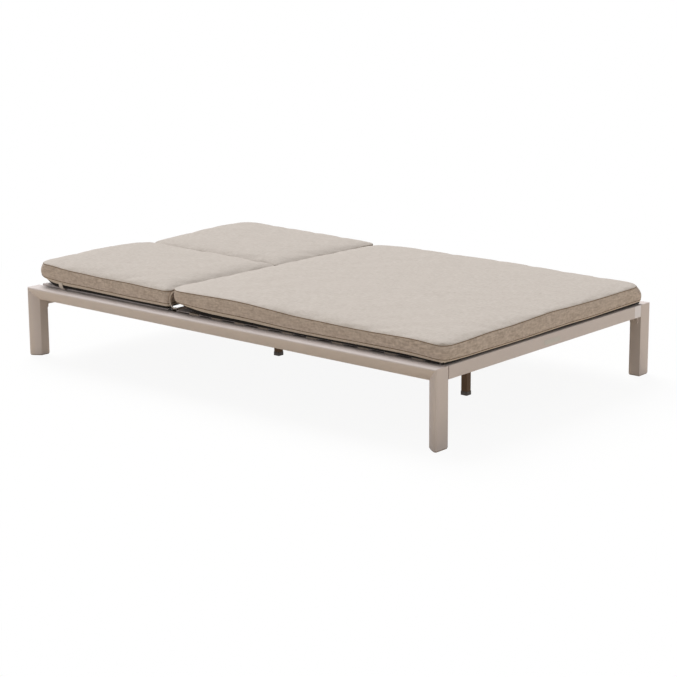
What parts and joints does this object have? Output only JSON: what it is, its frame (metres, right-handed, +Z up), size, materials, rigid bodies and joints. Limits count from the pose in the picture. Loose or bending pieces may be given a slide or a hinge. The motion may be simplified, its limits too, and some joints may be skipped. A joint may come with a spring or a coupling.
{
  "type": "double chaise lounger",
  "caption": "Wide terrace lounger for lying side by side: a low slatted frame on leaning corner legs, a broad seat cushion and paired backrests that tip up on notched stays.",
  "frame": {"origin": "on the ground, under the middle of the frame", "axes": "+X to the right seen from the foot end, +Y from the foot end to the head end, +Z up"},
  "size_m": [1.29, 2, 0.36],
  "materials": {
    "taupe_coated_aluminium": "satin powder coat, warm grey",
    "brown_coated_aluminium": "satin powder coat, dark brown",
    "dark_coated_metal": "matt dark coating",
    "stainless_steel": "brushed",
    "taupe_plastic": "moulded, matt, close to the frame's colour",
    "black_plastic": "moulded, matt",
    "black_rubber": "moulded, matt",
    "cushion_fabric": "heathered woven outdoor fabric, warm light grey",
    "webbing": "flat woven webbing"
  },
  "bodies": {
    "base": {"bracket_bolts": "dark_coated_metal", "foot_rail": "taupe_coated_aluminium", "head_rail": "taupe_coated_aluminium", "hinge_beam": "taupe_coated_aluminium", "hinge_bracket_left_inner": "dark_coated_metal", "hinge_bracket_left_outer": "dark_coated_metal", "hinge_bracket_right_inner": "dark_coated_metal", "hinge_bracket_right_outer": "dark_coated_metal", "hinge_pins": "stainless_steel", "leg_foot_left": "taupe_coated_aluminium", "leg_foot_right": "taupe_coated_aluminium", "leg_glides": "taupe_plastic", "leg_head_left": "taupe_coated_aluminium", "leg_head_right": "taupe_coated_aluminium", "middle_leg_foot": "brown_coated_aluminium", "middle_leg_head": "brown_coated_aluminium", "middle_leg_shoes": "black_plastic", "notched_rail_left_inner": "dark_coated_metal", "notched_rail_left_outer": "dark_coated_metal", "notched_rail_right_inner": "dark_coated_metal", "notched_rail_right_outer": "dark_coated_metal", "rail_bracket_foot_left": "taupe_coated_aluminium", "rail_bracket_foot_right": "taupe_coated_aluminium", "rail_bracket_head_left": "taupe_coated_aluminium", "rail_bracket_head_right": "taupe_coated_aluminium", "rear_centre_beam": "taupe_coated_aluminium", "rest_bumpers": "black_rubber", "seat_centre_beam": "taupe_coated_aluminium", "seat_cushion": "cushion_fabric", "seat_ledge_left": "taupe_coated_aluminium", "seat_ledge_right": "taupe_coated_aluminium", "seat_slats": "taupe_coated_aluminium", "side_rail_left": "taupe_coated_aluminium", "side_rail_right": "taupe_coated_aluminium"},
    "backrest_left": {"backrest_left_bushes": "black_plastic", "backrest_left_cross_tube": "taupe_coated_aluminium", "backrest_left_end_plugs": "black_plastic", "backrest_left_head_tube": "taupe_coated_aluminium", "backrest_left_inner_tube": "taupe_coated_aluminium", "backrest_left_outer_tube": "taupe_coated_aluminium", "backrest_left_slats": "taupe_coated_aluminium", "backrest_left_stay_pins": "stainless_steel"},
    "backrest_right": {"backrest_right_bushes": "black_plastic", "backrest_right_cross_tube": "taupe_coated_aluminium", "backrest_right_end_plugs": "black_plastic", "backrest_right_head_tube": "taupe_coated_aluminium", "backrest_right_inner_tube": "taupe_coated_aluminium", "backrest_right_outer_tube": "taupe_coated_aluminium", "backrest_right_slats": "taupe_coated_aluminium", "backrest_right_stay_pins": "stainless_steel"},
    "stay_left": {"stay_left_arms": "dark_coated_metal", "stay_left_foot_bar": "dark_coated_metal"},
    "stay_right": {"stay_right_arms": "dark_coated_metal", "stay_right_foot_bar": "dark_coated_metal"},
    "cushion_left": {"backrest_cushion_left": "cushion_fabric", "backrest_straps_left": "webbing"},
    "cushion_right": {"backrest_cushion_right": "cushion_fabric", "backrest_straps_right": "webbing"}
  },
  "joints": [
    {"name": "backrest_left_hinge", "type": "hinge", "parent": "base", "child": "backrest_left", "pos_m": [0, 0.269, 0.2625], "axis": [1, 0, 0], "range_deg": [0, 60]},
    {"name": "stay_left_hinge", "type": "hinge", "parent": "backrest_left", "child": "stay_left", "pos_m": [0, 0.557, 0.2565], "axis": [1, 0, 0], "range_deg": [-120, 0]},
    {"name": "cushion_left_creep", "type": "slide", "parent": "backrest_left", "child": "cushion_left", "axis": [0, 1, 0], "range_m": [0, 0.08]},
    {"name": "backrest_right_hinge", "type": "hinge", "parent": "base", "child": "backrest_right", "pos_m": [0, 0.269, 0.2625], "axis": [1, 0, 0], "range_deg": [0, 60]},
    {"name": "stay_right_hinge", "type": "hinge", "parent": "backrest_right", "child": "stay_right", "pos_m": [0, 0.557, 0.2565], "axis": [1, 0, 0], "range_deg": [-120, 0]},
    {"name": "cushion_right_creep", "type": "slide", "parent": "backrest_right", "child": "cushion_right", "axis": [0, 1, 0], "range_m": [0, 0.08]}
  ],
  "couplings": [
    {"joint": "stay_left_hinge", "follows": "backrest_left_hinge", "ratio": -2},
    {"joint": "cushion_left_creep", "follows": "backrest_left_hinge", "m_per_rad": 0.076},
    {"joint": "stay_right_hinge", "follows": "backrest_right_hinge", "ratio": -2},
    {"joint": "cushion_right_creep", "follows": "backrest_right_hinge", "m_per_rad": 0.076}
  ]
}
